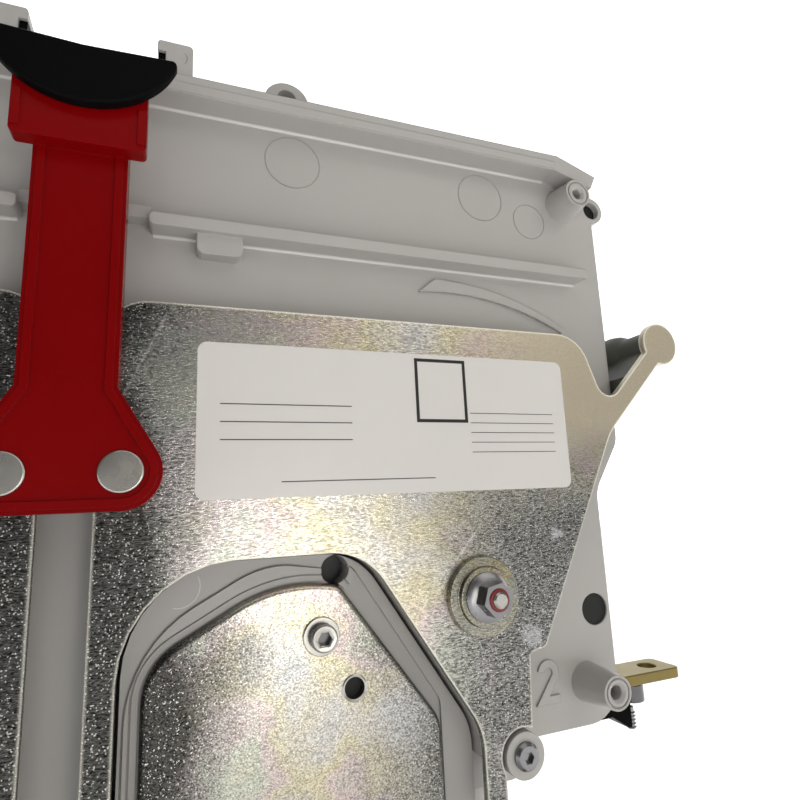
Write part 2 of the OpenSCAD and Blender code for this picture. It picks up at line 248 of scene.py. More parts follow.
def make_smudge():
    """A ragged dry patch round one place."""
    tree, start, end = group(
        "dry_smudge",
        [("Vector", "NodeSocketVector", (0, 0, 0)), ("Place", "NodeSocketVector", (0, 0, 0)),
         ("Radius", "NodeSocketFloat", 0.004)],
        [("Mask", "NodeSocketFloat")])
    reach = add(tree, "ShaderNodeVectorMath", operation="DISTANCE")
    join(tree, start.outputs["Vector"], reach.inputs[0])
    join(tree, start.outputs["Place"], reach.inputs[1])
    ragged = noise(tree, start.outputs["Vector"], 420.0, 4.0, 0.7)
    near = math_node(tree, "DIVIDE", reach.outputs["Value"], start.outputs["Radius"])
    sum_up = math_node(tree, "ADD", near, span(tree, ragged, 0.3, 0.7, -0.9, 0.9))
    join(tree, span(tree, sum_up, 1.0, 0.6), end.inputs["Mask"])
    return tree


def make_scratch():
    """A thin straight scratch from one place to another."""
    tree, start, end = group(
        "scratch",
        [("Vector", "NodeSocketVector", (0, 0, 0)), ("Start", "NodeSocketVector", (0, 0, 0)),
         ("End", "NodeSocketVector", (0, 0, 0)), ("Width", "NodeSocketFloat", 0.0004)],
        [("Mask", "NodeSocketFloat")])

    def between(operation, a, b):
        made = add(tree, "ShaderNodeVectorMath", operation=operation)
        join(tree, a, made.inputs[0])
        join(tree, b, made.inputs[1])
        return made.outputs["Value" if operation in ("DOT_PRODUCT", "DISTANCE") else "Vector"]

    way = between("SUBTRACT", start.outputs["End"], start.outputs["Start"])
    off = between("SUBTRACT", start.outputs["Vector"], start.outputs["Start"])
    along = math_node(tree, "DIVIDE", between("DOT_PRODUCT", off, way), between("DOT_PRODUCT", way, way))
    held = add(tree, "ShaderNodeClamp")
    join(tree, along, held.inputs["Value"])
    reach = add(tree, "ShaderNodeVectorMath", operation="SCALE")
    join(tree, way, reach.inputs[0])
    join(tree, held.outputs["Result"], reach.inputs["Scale"])
    gap = between("DISTANCE", off, reach.outputs["Vector"])
    broken = span(tree, noise(tree, start.outputs["Vector"], 260.0, 3.0, 0.6), 0.35, 0.6)
    line = span(tree, gap, start.outputs["Width"], 0.0)
    join(tree, math_node(tree, "MULTIPLY", line, broken), end.inputs["Mask"])
    return tree


SMUDGE = make_smudge()
SCRATCH = make_scratch()
GRAIN = make_grain()
SPANGLE = make_spangle()
FILM_AND_SHADE = make_film_and_shade()


class Finish:
    """A material with its Principled shader and object coordinates at hand."""

    def __init__(self, name):
        self.material = bpy.data.materials.new(name)
        self.material.use_nodes = True
        self.tree = self.material.node_tree
        self.shader = self.tree.nodes["Principled BSDF"]
        self.vector = add(self.tree, "ShaderNodeTexCoord").outputs["Object"]

    def set(self, **values):
        for key, value in values.items():
            self.shader.inputs[key.replace("_", " ")].default_value = value

    def use(self, tree, **values):
        made = add(self.tree, "ShaderNodeGroup", node_tree=tree)
        join(self.tree, self.vector, made.inputs["Vector"])
        for key, value in values.items():
            made.inputs[key.replace("_", " ")].default_value = value
        return made.outputs

    def bump(self, height, strength, distance=0.0002, rounding=0.0):
        made = add(self.tree, "ShaderNodeBump")
        if rounding:
            soft = add(self.tree, "ShaderNodeBevel", samples=6)
            soft.inputs["Radius"].default_value = rounding
            join(self.tree, soft.outputs["Normal"], made.inputs["Normal"])
        if isinstance(strength, (int, float)):
            made.inputs["Strength"].default_value = strength
        else:
            join(self.tree, strength, made.inputs["Strength"])
        made.inputs["Distance"].default_value = distance
        join(self.tree, height, made.inputs["Height"])
        join(self.tree, made.outputs["Normal"], self.shader.inputs["Normal"])

    def edge_line(self, radius):
        """A mask for the thin line where a flat face rolls over into its cut edge."""
        soft = add(self.tree, "ShaderNodeBevel", samples=8)
        soft.inputs["Radius"].default_value = radius
        flat = add(self.tree, "ShaderNodeNewGeometry")
        lean = add(self.tree, "ShaderNodeVectorMath", operation="DOT_PRODUCT")
        join(self.tree, soft.outputs["Normal"], lean.inputs[0])
        join(self.tree, flat.outputs["True Normal"], lean.inputs[1])
        return span(self.tree, lean.outputs["Value"], *ROLLED_LEAN)

    def feed(self, socket, value):
        join(self.tree, value, self.shader.inputs[socket])


def plastic(name, dark, light, rough, grain_scale, bump, shine=0.5, rounding=0.0):
    """Moulded plastic, film or ink, between a darker and a lighter shade."""
    made = Finish(name)
    grain = made.use(GRAIN, Scale=grain_scale, Unevenness=11.0)
    made.feed("Base Color", blend_colour(made.tree, grain["Mask"], dark, light))
    made.feed("Roughness", span(made.tree, grain["Mask"], 0.0, 1.0, rough - 0.04, rough + 0.05))
    made.set(Specular_IOR_Level=shine)
    made.bump(grain["Height"], bump, 0.0001, rounding)
    return made.material


# Marks on zinc-plated steel, with its painted glints and painted edge highlight
SPANGLE_SCALE = 2700.0
SPECKLES = [(0.0, (0.14, 0.14, 0.14)), (0.45, (0.76, 0.76, 0.76)), (1.0, (1.35, 1.35, 1.35))]
CALM_GREY = (0.88, 0.88, 0.88)
GLINT_WHITE = (0.95, 0.94, 0.90)
SMUDGE_GREY = (0.74, 0.76, 0.80)
SMUDGE_COVER = 0.42
SCRATCH_GREY = (0.80, 0.80, 0.80)
SCRATCH_COVER = 0.55
SCRATCH_WIDTH = 0.0006
EDGE_HIGHLIGHT_PALE = (0.95, 0.93, 0.82)
ROLLED_LEAN = (0.975, 0.91)


def zinc_plate(name, tone, rough, sparkle, edges, tint_scale, clear_grain, smudges=(), scratches=(),
               rolled=0.0, brushing=(0.30, 1.0, 1.0)):
    """Zinc-plated steel under its film and painted shade, with painted glints, dry smudges, scratches and a
    painted pale highlight along the rolled edge where wanted.
    """
    made = Finish(name)
    tree = made.tree
    spangle = made.use(SPANGLE, Scale=SPANGLE_SCALE, Brushing=brushing)
    film = made.use(FILM_AND_SHADE, Scale=tint_scale, Dark_Edge=edges[0], Clear_Edge=edges[1],
                    Outer_Edge=edges[2])
    hazed = span(tree, film["Haze"], 0.0, 1.0, 1.0, 0.12)
    calm = math_node(tree, "MULTIPLY", hazed, span(tree, film["Painted Shade"], 0.35, 0.95, 1.0, clear_grain))
    even = blend_colour(tree, calm, CALM_GREY, ramp(tree, spangle["Speckle"], SPECKLES))
    # The film's tint and the painted shade are multiplied into the zinc's colour
    plain = blend_colour(tree, 1.0, tone, film["Tint"], "MULTIPLY")
    level = blend_colour(tree, 1.0, even, film["Painted Shade"], "MULTIPLY")
    colour = blend_colour(tree, 1.0, plain, level, "MULTIPLY")
    # Painted glints: sparse grains whitened in the colour, fewer where the grain is calm
    glint = math_node(tree, "MULTIPLY", spangle["Glint"], math_node(tree, "MULTIPLY", calm, 0.6))
    shone = blend_colour(tree, glint, colour, GLINT_WHITE)
    coarse = span(tree, spangle["Speckle"], 0.0, 1.0, rough + 0.06, rough - 0.06)
    rough_now = math_node(tree, "ADD", coarse, span(tree, film["Haze"], 0.0, 1.0, 0.0, 0.14))
    for spot, radius in smudges:
        dry = made.use(SMUDGE, Place=spot, Radius=radius)["Mask"]
        shone = blend_colour(tree, math_node(tree, "MULTIPLY", dry, SMUDGE_COVER), shone, SMUDGE_GREY)
        rough_now = math_node(tree, "ADD", rough_now, math_node(tree, "MULTIPLY", dry, 0.3))
    for first, last in scratches:
        line = made.use(SCRATCH, Start=first, End=last, Width=SCRATCH_WIDTH)["Mask"]
        shone = blend_colour(tree, math_node(tree, "MULTIPLY", line, SCRATCH_COVER), shone, SCRATCH_GREY)
    made.set(Metallic=1.0)
    # Painted highlight: a pale, non-metallic line where the faces roll into the cut edges, fainter under the
    # painted shade
    if rolled:
        strength = span(tree, film["Painted Shade"], 0.14, 1.0, 0.6, 0.95)
        line = math_node(tree, "MULTIPLY", made.edge_line(rolled), strength)
        shone = blend_colour(tree, line, shone, EDGE_HIGHLIGHT_PALE)
        made.feed("Metallic", span(tree, line, 0.0, 1.0, 1.0, 0.0))
    made.feed("Base Color", shone)
    made.feed("Roughness", rough_now)
    made.bump(spangle["Height"], math_node(tree, "MULTIPLY", calm, sparkle), 0.0002)
    return made.material


def metal(name, colour, rough, grain_scale=500.0, bump=0.1):
    """Plain metal with a fine uneven grain."""
    made = Finish(name)
    grain = made.use(GRAIN, Scale=grain_scale, Unevenness=60.0)
    deep = tuple(0.8 * c for c in colour)
    made.feed("Base Color", blend_colour(made.tree, grain["Mask"], deep, colour))
    made.feed("Roughness", span(made.tree, grain["Mask"], 0.0, 1.0, rough - 0.06, rough + 0.06))
    made.set(Metallic=1.0)
    made.bump(grain["Height"], bump, 0.0001)
    return made.material


GREY = plastic("grey_moulding", (0.430, 0.420, 0.405), (0.465, 0.455, 0.440), 0.34, 1600.0, 0.08,
               rounding=0.0007)
# A darker copy of the grey moulding: painted shade for the recessed pole frames
SHADED_FRAME_GREY = plastic("shaded_frame", (0.350, 0.340, 0.328), (0.385, 0.375, 0.362), 0.36, 1600.0, 0.08)
# The cross bar's grey-green moulding, darkened further as painted shade
SHADED_BAR_GREY = plastic("shaded_moulding", (0.105, 0.110, 0.095), (0.125, 0.130, 0.112), 0.45, 1600.0, 0.08, 0.3)
DARK_GREY = plastic("dark_insulation", (0.030, 0.030, 0.033), (0.045, 0.045, 0.05), 0.55, 900.0, 0.2)
HOLE_SHADE = plastic("hole_shade", (0.011, 0.0115, 0.011), (0.016, 0.0165, 0.016), 0.55, 900.0, 0.1, 0.3)
RED = plastic("red_moulding", (0.185, 0.0004, 0.001), (0.22, 0.0008, 0.002), 0.24, 700.0, 0.04, 0.12)
BLACK = plastic("black_moulding", (0.0025, 0.0025, 0.0028), (0.004, 0.004, 0.0044), 0.42, 900.0, 0.08, 0.03)
SMUDGES = ((place(148.5, 38.0, YOKE_Y), 0.0045), (place(163.0, 73.0, YOKE_Y), 0.0025))
SCRATCHES = ((place(24.5, 147.0, YOKE_Y), place(11.5, 117.0, YOKE_Y)),
             (place(120.0, 66.0, YOKE_Y), place(131.0, 78.0, YOKE_Y)))
# Edges: where the painted shade is darkest, where it has cleared, and where the outer painted shade begins,
# in metres from the middle
CLEAR_EDGES = (0.0, 0.001, 0.4)
# The rolled width is that of the painted highlight along the rolled edges
ZINC = zinc_plate("zinc_plate", (0.74, 0.72, 0.68), rough=0.29, sparkle=0.85, edges=(0.019, 0.041, 0.106),
                  tint_scale=15.0, clear_grain=0.55, smudges=SMUDGES, scratches=SCRATCHES, rolled=0.0018)
POLE_ZINC = zinc_plate("pole_zinc", (0.62, 0.60, 0.56), rough=0.185, sparkle=0.75,
                       edges=(0.031, 0.054, 0.078), tint_scale=21.0, clear_grain=0.55,
                       brushing=(0.75, 1.0, 1.0))
WASHER_ZINC = zinc_plate("washer_zinc", (0.37, 0.355, 0.29), rough=0.26, sparkle=0.40, edges=CLEAR_EDGES,
                         tint_scale=40.0, clear_grain=0.45)
BASE_ZINC = zinc_plate("base_zinc", (0.66, 0.65, 0.61), rough=0.34, sparkle=0.60, edges=CLEAR_EDGES,
                       tint_scale=15.0, clear_grain=0.25)
BRASS = metal("terminal_brass", (0.25, 0.20, 0.075), 0.40, 700.0, 0.15)
SPLITTER = metal("splitter_steel", (0.42, 0.42, 0.42), 0.42)
STEEL = metal("turned_steel", (0.60, 0.58, 0.54), 0.28)
SCREW = metal("screw_zinc", (0.52, 0.51, 0.48), 0.24)
CLAMP_STEEL = metal("clamp_steel", (0.30, 0.30, 0.31), 0.26)
DARK_STEEL = metal("dark_steel", (0.15, 0.15, 0.155), 0.24)
LABEL = plastic("label_film", (0.70, 0.685, 0.665), (0.73, 0.715, 0.695), 0.30, 1200.0, 0.01)
INK = plastic("label_ink", (0.008, 0.008, 0.008), (0.012, 0.012, 0.012), 0.45, 900.0, 0.02)
FAINT_INK = plastic("label_grey_ink", (0.05, 0.05, 0.05), (0.07, 0.07, 0.07), 0.45, 900.0, 0.02)
# A lighter copy of the grey moulding: a painted highlight for the rib fillets and the frame marks
HIGHLIGHT_GREY = plastic("highlight_grey", (0.58, 0.57, 0.55), (0.64, 0.63, 0.61), 0.22, 1600.0, 0.04, 0.8)
SEALANT = plastic("red_sealant", (0.17, 0.012, 0.012), (0.24, 0.022, 0.020), 0.35, 900.0, 0.2)

# Finishes of the solids
FINISHES = {
    "base_plate": BASE_ZINC, "drive_housing": GREY, "arc_chamber": DARK_GREY, "chute_grid": DARK_GREY,
    "drive_cover": BLACK, "terminal_block": BLACK, "terminal_bar": BRASS, "chute_wall": GREY,
    "splitters": SPLITTER, "pole_frame": SHADED_FRAME_GREY, "pole_plate": POLE_ZINC, "yoke": ZINC,
    "cross_bar": SHADED_BAR_GREY, "pivot": WASHER_ZINC, "handle": RED, "grip": BLACK, "lock_pins": STEEL}


def finish_of(name):
    """The finish of a solid, by the start of its name."""
    return next(finish for start, finish in FINISHES.items() if name.startswith(start))


for name, solid in NODES.items():
    solid.data.materials.clear()
    solid.data.materials.append(finish_of(name))


# Mesh helpers

SHARP_EDGE = 35.0


def to_object(name, bm, finish, smooth=True, sharp=30.0):
    """A finished piece at the origin that rides on the contactor."""
    bmesh.ops.recalc_face_normals(bm, faces=bm.faces)
    for face in bm.faces:
        face.smooth = smooth
    for edge in bm.edges:
        edge.smooth = len(edge.link_faces) == 2 and edge.calc_face_angle(0.0) < math.radians(sharp)
    mesh = bpy.data.meshes.new(name)
    bm.to_mesh(mesh)
    bm.free()
    mesh.materials.append(finish)
    made = bpy.data.objects.new(name, mesh)
    bpy.context.scene.collection.objects.link(made)
    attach(made, "root")
    return made


def soften(made, width, segments=3):
    """Rounded edges for a piece."""
    bevel = made.modifiers.new("rounding", "BEVEL")
    bevel.width = width * MM
    bevel.segments = segments
    bevel.limit_method = "ANGLE"
    bevel.angle_limit = math.radians(SHARP_EDGE)
    bevel.harden_normals = True
    bevel.use_clamp_overlap = True


def dressed(name, width, segments=3):
    """A copy of a solid with rounded edges that stands for it."""
    bm = bmesh.new()
    bm.from_mesh(NODES[name].data)
    bmesh.ops.remove_doubles(bm, verts=bm.verts, dist=1e-6)
    bmesh.ops.dissolve_limit(bm, angle_limit=math.radians(0.4), verts=bm.verts, edges=bm.edges)
    made = to_object(name + "_dressed", bm, finish_of(name))
    soften(made, width, segments)
    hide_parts(name)


def wall_between(bm, low, high):
    """Faces all the way round between two rings of points."""
    for i in range(len(low)):
        j = (i + 1) % len(low)
        bm.faces.new((low[i], low[j], high[j], high[i]))


def closed_between(bm, low, high):
    """A closed body between two rings of points."""
    bm.faces.new(low)
    bm.faces.new(high)
    wall_between(bm, low, high)


def prism(bm, points, y_back, y_front):
    """A flat outline in millimetres across and up, given thickness from back to front."""
    rings = [[bm.verts.new(place(x, h, depth)) for x, h in points] for depth in (y_back, y_front)]
    closed_between(bm, *rings)


def prism_on_four_sides(bm, points, y_back, y_front):
    """The same flat piece on the left and right of the front and the rear."""
    for face in (1, -1):
        for s in (1, -1):
            prism(bm, [(s * x, h) for x, h in points], y_back * face, y_front * face)


def arc(x, h, radius, start, end, steps):
    """Points along an arc, from one angle in degrees to another."""
    return [(x + radius * math.cos(math.radians(start + (end - start) * i / steps)),
             h + radius * math.sin(math.radians(start + (end - start) * i / steps)))
            for i in range(steps + 1)]


def circle(x, h, radius, sides=36):
    """A round outline."""
    return arc(x, h, radius, 0, 360, sides)[:-1]


def rounded_box(x0, x1, h0, h1, radius, steps=6):
    """A box outline with rounded corners."""
    return (arc(x1 - radius, h1 - radius, radius, 0, 90, steps)
            + arc(x0 + radius, h1 - radius, radius, 90, 180, steps)
            + arc(x0 + radius, h0 + radius, radius, 180, 270, steps)
            + arc(x1 - radius, h0 + radius, radius, 270, 360, steps))


def turned(profile, sides=40):
    """A lathe-turned mesh about Y from (radius, depth) millimetres, depth toward the front."""
    bm = bmesh.new()
    rings = []
    for radius, depth in profile:
        if radius == 0:
            rings.append([bm.verts.new((0, -depth * MM, 0))])
            continue
        rings.append([bm.verts.new((radius * MM * math.cos(2 * math.pi * i / sides), -depth * MM,
                                    radius * MM * math.sin(2 * math.pi * i / sides))) for i in range(sides)])
    for a, b in zip(rings, rings[1:]):
        for i in range(sides):
            j = (i + 1) % sides
            loop = [a[i % len(a)], a[j % len(a)], b[j % len(b)], b[i % len(b)]]
            bm.faces.new(list(dict.fromkeys(loop)))
    return bm


def hexagon(bm, flats, y0, y1, turn=0.0):
    """A hexagonal prism about Y, across flats in millimetres."""
    radius = flats * MM / math.sqrt(3)
    rings = []
    for depth in (y0, y1):
        rings.append([bm.verts.new((radius * math.cos(math.radians(60 * i + turn)), -depth * MM,
                                    radius * math.sin(math.radians(60 * i + turn)))) for i in range(6)])
    closed_between(bm, *rings)


def template(name, bm):
    """A hidden pattern piece for the repeated hardware."""
    bmesh.ops.remove_doubles(bm, verts=bm.verts, dist=1e-7)
    bmesh.ops.recalc_face_normals(bm, faces=bm.faces)
    mesh = bpy.data.meshes.new(name)
    bm.to_mesh(mesh)
    bm.free()
    return bpy.data.objects.new(name, mesh)


def make_repeat_tree():
    """Geometry nodes that set one pattern piece on every point, facing front or rear."""
    tree = bpy.data.node_groups.new("hardware_on_points", "GeometryNodeTree")
    for label, way, kind in (("Points", "INPUT", "Geometry"), ("Piece", "INPUT", "Object"),
                             ("Finish", "INPUT", "Material"), ("Geometry", "OUTPUT", "Geometry")):
        tree.interface.new_socket(name=label, in_out=way, socket_type="NodeSocket" + kind)
    start = tree.nodes.new("NodeGroupInput")
    end = tree.nodes.new("NodeGroupOutput")
    info = tree.nodes.new("GeometryNodeObjectInfo")
    join(tree, start.outputs["Piece"], info.inputs["Object"])
    turn = tree.nodes.new("GeometryNodeInputNamedAttribute")
    turn.data_type = "FLOAT"
    turn.inputs["Name"].default_value = "turn"
    spin = tree.nodes.new("ShaderNodeCombineXYZ")
    join(tree, turn.outputs["Attribute"], spin.inputs["Z"])
    seated = tree.nodes.new("GeometryNodeInstanceOnPoints")
    join(tree, start.outputs["Points"], seated.inputs["Points"])
    join(tree, info.outputs["Geometry"], seated.inputs["Instance"])
    join(tree, spin.outputs["Vector"], seated.inputs["Rotation"])
    real = tree.nodes.new("GeometryNodeRealizeInstances")
    join(tree, seated.outputs["Instances"], real.inputs["Geometry"])
    painted = tree.nodes.new("GeometryNodeSetMaterial")
    join(tree, real.outputs["Geometry"], painted.inputs["Geometry"])
    join(tree, start.outputs["Finish"], painted.inputs["Material"])
    join(tree, painted.outputs["Geometry"], end.inputs["Geometry"])
    return tree


REPEAT = make_repeat_tree()


def repeat(name, piece, spots, finish):
    """The pattern piece on every (point, turn), as one plain mesh."""
    mesh = bpy.data.meshes.new(name + "_points")
    mesh.from_pydata([spot for spot, turn in spots], [], [])
    turns = mesh.attributes.new("turn", "FLOAT", "POINT")
    for i, (spot, turn) in enumerate(spots):
        turns.data[i].value = turn
    holder = bpy.data.objects.new(name + "_points", mesh)
    bpy.context.scene.collection.objects.link(holder)
    modifier = holder.modifiers.new("hardware", "NODES")
    modifier.node_group = REPEAT
    sockets = {s.name: s.identifier for s in REPEAT.interface.items_tree if s.in_out == "INPUT"}
    modifier[sockets["Piece"]] = piece
    modifier[sockets["Finish"]] = finish
    ready = holder.evaluated_get(bpy.context.evaluated_depsgraph_get())
    bm = bmesh.new()
    bm.from_mesh(bpy.data.meshes.new_from_object(ready))
    bpy.data.objects.remove(holder)
    to_object(name, bm, finish, sharp=SHARP_EDGE)


def four_sides(x, h, y):
    """The same place on the left and right of the front and the rear."""
    spots = [(place(s * x, h, y), 0.0) for s in (1, -1)]
    return spots + [(Vector((p.x, -p.y, p.z)), math.pi) for p, _ in spots]


# Solids with rounded edges

for side in ("left", "right"):
    for face in ("front", "rear"):
        dressed("yoke_%s_%s" % (face, side), 0.35, 2)
        dressed("pivot_%s_%s" % (face, side), 0.4, 2)
    dressed("cross_bar_" + side, 0.8)
    dressed("terminal_bar_" + side, 0.6)
    dressed("terminal_block_" + side, 1.2)
    dressed("drive_cover_" + side, 1.5)
for face in ("front", "rear"):
    dressed("handle_" + face, 0.7)
    dressed("grip_" + face, 1.2)
    dressed("lock_pins_" + face, 0.6)
dressed("drive_housing", 2.0)
dressed("base_plate", 0.6)


# Pole plates with rolled edges on stepped frames

PLATE_BACK = WALL_Y - 3.0 * MM
PLATE_ROLL = 1.9
ROLL_STEPS = 8
PLAIN_HOLE_R = 3.35
SCREW_HOLE_R = 2.7
# Corners of the outlines in millimetres: across, up and radius
PLATE_EDGE = [(113.9, -44.0, 8.0), (113.9, 14.6, 12.0), (79.8, 61.0, 6.5), (58.8, 63.7, 46.0),
              (20.7, 43.2, 17.0), (20.7, -44.0, 8.0)]
FRAME_EDGE = [(125.8, -60.0, 0.0), (125.8, 10.4, 21.3), (86.6, 70.9, 21.3), (15.2, 70.9, 30.3),
              (15.2, -60.0, 0.0)]
STEP_EDGE = [(114.3, -60.0, 0.0), (114.3, 19.9, 6.0), (83.5, 67.4, 8.0), (54.5, 68.6, 30.0),
             (16.6, 48.4, 34.0), (16.6, -60.0, 0.0)]
FRAME_BACK = WALL_Y + 4.0 * MM
FRAME_HOLE = (78.8, 65.7)
FRAME_HOLE_R = 4.7
SLOT_WIDTH = 3.2
SLOT_LOW = 56.0
OUTER_LAND = 0.9
GROOVE = 0.6
# Each ledge's gap to the plate and its height
LEDGES = ((3.0, 1.7), (0.6, 0.8))
LEDGE_END = 24.0
LEDGE_ROOT = 0.2


def rounded_outline(corners, steps=8):
    """An outline, anticlockwise, from corners given as across, up and radius."""
    points = []
    for before, corner, after in zip(corners[-1:] + corners[:-1], corners, corners[1:] + corners[:1]):
        spot = Vector(corner[:2])
        radius = corner[2]
        if radius == 0:
            points.append(tuple(spot))
            continue
        back = (Vector(before[:2]) - spot).normalized()
        ahead = (Vector(after[:2]) - spot).normalized()
        half = back.angle(ahead) / 2
        middle = spot + (back + ahead).normalized() * radius / math.sin(half)
        first = spot + back * radius / math.tan(half) - middle
        last = spot + ahead * radius / math.tan(half) - middle
        start = math.atan2(first.y, first.x)
        turn = (math.atan2(last.y, last.x) - start + math.pi) % (2 * math.pi) - math.pi
        points += arc(middle.x, middle.y, radius, math.degrees(start), math.degrees(start + turn), steps)
    return points


def drawn_in(points, distance):
    """An anticlockwise outline drawn in by a distance, or let out by a negative one."""
    moved = []
    for (x0, h0), (x, h), (x1, h1) in zip(points[-1:] + points[:-1], points, points[1:] + points[:1]):
        first = Vector((h0 - h, x - x0)).normalized()
        both = (first + Vector((h - h1, x1 - x)).normalized()).normalized()
        reach = distance / both.dot(first)
        moved.append((x + both.x * reach, h + both.y * reach))
    return moved


def pressed(bm, rings, holes, side, face):
    """A closed shell through rings of one outline, with holes from the first ring to the last."""
    def row(points, depth):
        return [bm.verts.new(place(side * x, h, face * depth)) for x, h in points]

    rows = [row(points, depth) for points, depth in rings]
    walls = [rows] + [[row(hole, rings[0][1]), row(hole, rings[-1][1])] for hole in holes]
    for wall in walls:
        for low, high in zip(wall, wall[1:]):
            wall_between(bm, low, high)
    for end in (0, -1):
        rims = [wall[end] for wall in walls]
        edges = [bm.edges.get((a, b)) for rim in rims for a, b in zip(rim, rim[1:] + rim[:1])]
        bmesh.ops.triangle_fill(bm, use_beauty=True, edges=edges)


def rolled_plate(node, side, face):
    """A pole plate, flat in front, with its edge rolled back to the frame."""
    outline = rounded_outline(PLATE_EDGE)
    rings = [(outline, PLATE_BACK)]
    for i in range(ROLL_STEPS + 1):
        angle = math.radians(90 * i / ROLL_STEPS)
        rings.append((drawn_in(outline, PLATE_ROLL * (1 - math.cos(angle))),
                      POLE_Y + PLATE_ROLL * (1 - math.sin(angle)) * MM))
    holes = [circle(*PLAIN_HOLE, PLAIN_HOLE_R), circle(*CAP_SCREW, SCREW_HOLE_R)]
    bm = bmesh.new()
    pressed(bm, rings, holes, side, face)
    made = to_object(node + "_rolled", bm, POLE_ZINC)
    for edge in made.data.edges:
        if all(abs(made.data.vertices[v].co.y - face * POLE_Y) < 1e-6 for v in edge.vertices):
            edge.use_edge_sharp = True
    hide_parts(node)


def frame_ledge(bm, outer, inner, height, low, side, face):
    """A raised ledge between two outlines, parted by the frame's round hole."""
    x, h = FRAME_HOLE

    def beside(outline, s):
        return [p for p in outline if (p[0] - x) * s > 0 and math.dist(p, FRAME_HOLE) > FRAME_HOLE_R
                and (s < 0 or p[1] > low)]

    def bearing(p, least):
        return (math.degrees(math.atan2(p[1] - h, p[0] - x)) - least) % 360 + least

    for s in (1, -1):
        outward = beside(outer, s)
        inward = beside(inner, s)[::-1]
        if s > 0:
            bow = arc(x, h, FRAME_HOLE_R, bearing(outward[-1], -90), bearing(inward[0], -90), 8)
            points = outward + bow + inward
        else:
            bow = arc(x, h, FRAME_HOLE_R, bearing(inward[-1], 90), bearing(outward[0], 90), 8)
            points = outward + inward + bow
        prism(bm, [(side * px, ph) for px, ph in points], face * (PLATE_BACK + LEDGE_ROOT * MM),
              face * (PLATE_BACK - height * MM))


def stepped_frame(node, side, face):
    """A pole frame with a keyhole, a land along its edge and two ledges round the plate."""
    outline = rounded_outline(FRAME_EDGE)
    step = rounded_outline(STEP_EDGE)
    half = SLOT_WIDTH / 2
    open_angle = math.degrees(math.asin(half / FRAME_HOLE_R))
    keyhole = arc(*FRAME_HOLE, FRAME_HOLE_R, open_angle - 90, 270 - open_angle, 28)
    keyhole += [(FRAME_HOLE[0] - half, SLOT_LOW), (FRAME_HOLE[0] + half, SLOT_LOW)]
    bm = bmesh.new()
    pressed(bm, [(outline, FRAME_BACK), (outline, PLATE_BACK)], [keyhole], side, face)
    frame_ledge(bm, outline, drawn_in(step, -GROOVE), OUTER_LAND, FRAME_EDGE[0][1] - 1, side, face)
    for gap, height in LEDGES:
        inner = drawn_in(rounded_outline(PLATE_EDGE), -gap)
        frame_ledge(bm, step, inner, height, LEDGE_END, side, face)
        step = drawn_in(inner, GROOVE)
    made = to_object(node + "_stepped", bm, SHADED_FRAME_GREY)
    soften(made, 0.25, 2)
    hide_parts(node)


for side, across in (("left", -1), ("right", 1)):
    for face, toward in (("front", 1), ("rear", -1)):
        rolled_plate("pole_plate_%s_%s" % (face, side), across, toward)
        stepped_frame("pole_frame_%s_%s" % (face, side), across, toward)


# Pivot nuts and studs, with profiles as radius and distance in front of the seat

NUT_FLANGE = [(0, 0), (8.2, 0), (8.4, 0.5), (6.6, 1.6), (0, 1.6)]
NUT_FLATS = 10.0
NUT_REACH = (1.2, 7.4)
NUT_TURN = 12.0
NUT_INSERT = [(0, 7.3), (3.9, 7.3), (3.5, 7.9), (2.8, 8.0), (0, 8.0)]
STUD_END = [(0, 7), (2.7, 7), (2.7, 8.4), (2.1, 9.0), (0, 9.0)]


def lock_nut():
    """A flanged nut."""
    bm = turned(NUT_FLANGE)
    hexagon(bm, NUT_FLATS, *NUT_REACH, NUT_TURN)
    return template("lock_nut_pattern", bm)


def pivot_hardware():
    """A nut with its red insert on the end of each pivot stud."""
    spots = four_sides(*PIVOT, PIVOT_Y)
    repeat("lock_nuts", lock_nut(), spots, CLAMP_STEEL)
    repeat("nut_inserts", template("sealant_pattern", turned(NUT_INSERT)), spots, SEALANT)
    repeat("pivot_studs", template("stud_pattern", turned(STUD_END)), spots, SCREW)


pivot_hardware()


# Pole plate screws

CAP_HEAD = [(0, 0), (5.95, 0), (5.95, 0.9), (5.75, 1.1), (4.1, 1.1), (4.1, 4.9), (3.75, 5.4), (2.5, 5.4),
            (2.2, 5.2), (2.2, 2.2), (0, 2.2)]
CAP_SOCKET = (2.2, 3.9)
SOCKET_SHADE_DISC = (3.8, 2.0, 2.5)
KNURLS = 40
KNURL_INNER_R = 4.0
KNURL_R = (4.15, 4.3)
KNURL_REACH = (1.5, 4.6)
COLLAR = [(3.35, -0.3), (4.3, -0.1), (4.25, 0.1), (3.85, 0.3), (3.35, 0.15), (3.35, -0.3)]


def hex_socket(bm, radius, flats):
    """Turns the round recess of a turned head into a hexagon."""
    for spot in bm.verts:
        if abs(math.hypot(spot.co.x, spot.co.z) - radius * MM) > 1e-6:
            continue
        angle = math.degrees(math.atan2(spot.co.z, spot.co.x)) % 60 - 30
        grow = flats / 2 / math.cos(math.radians(angle)) / radius
        spot.co.x *= grow
        spot.co.z *= grow


def cap_screw():
    """A socket head screw on its washer."""
    bm = turned(CAP_HEAD, 48)
    hex_socket(bm, *CAP_SOCKET)
    return template("cap_screw_pattern", bm)


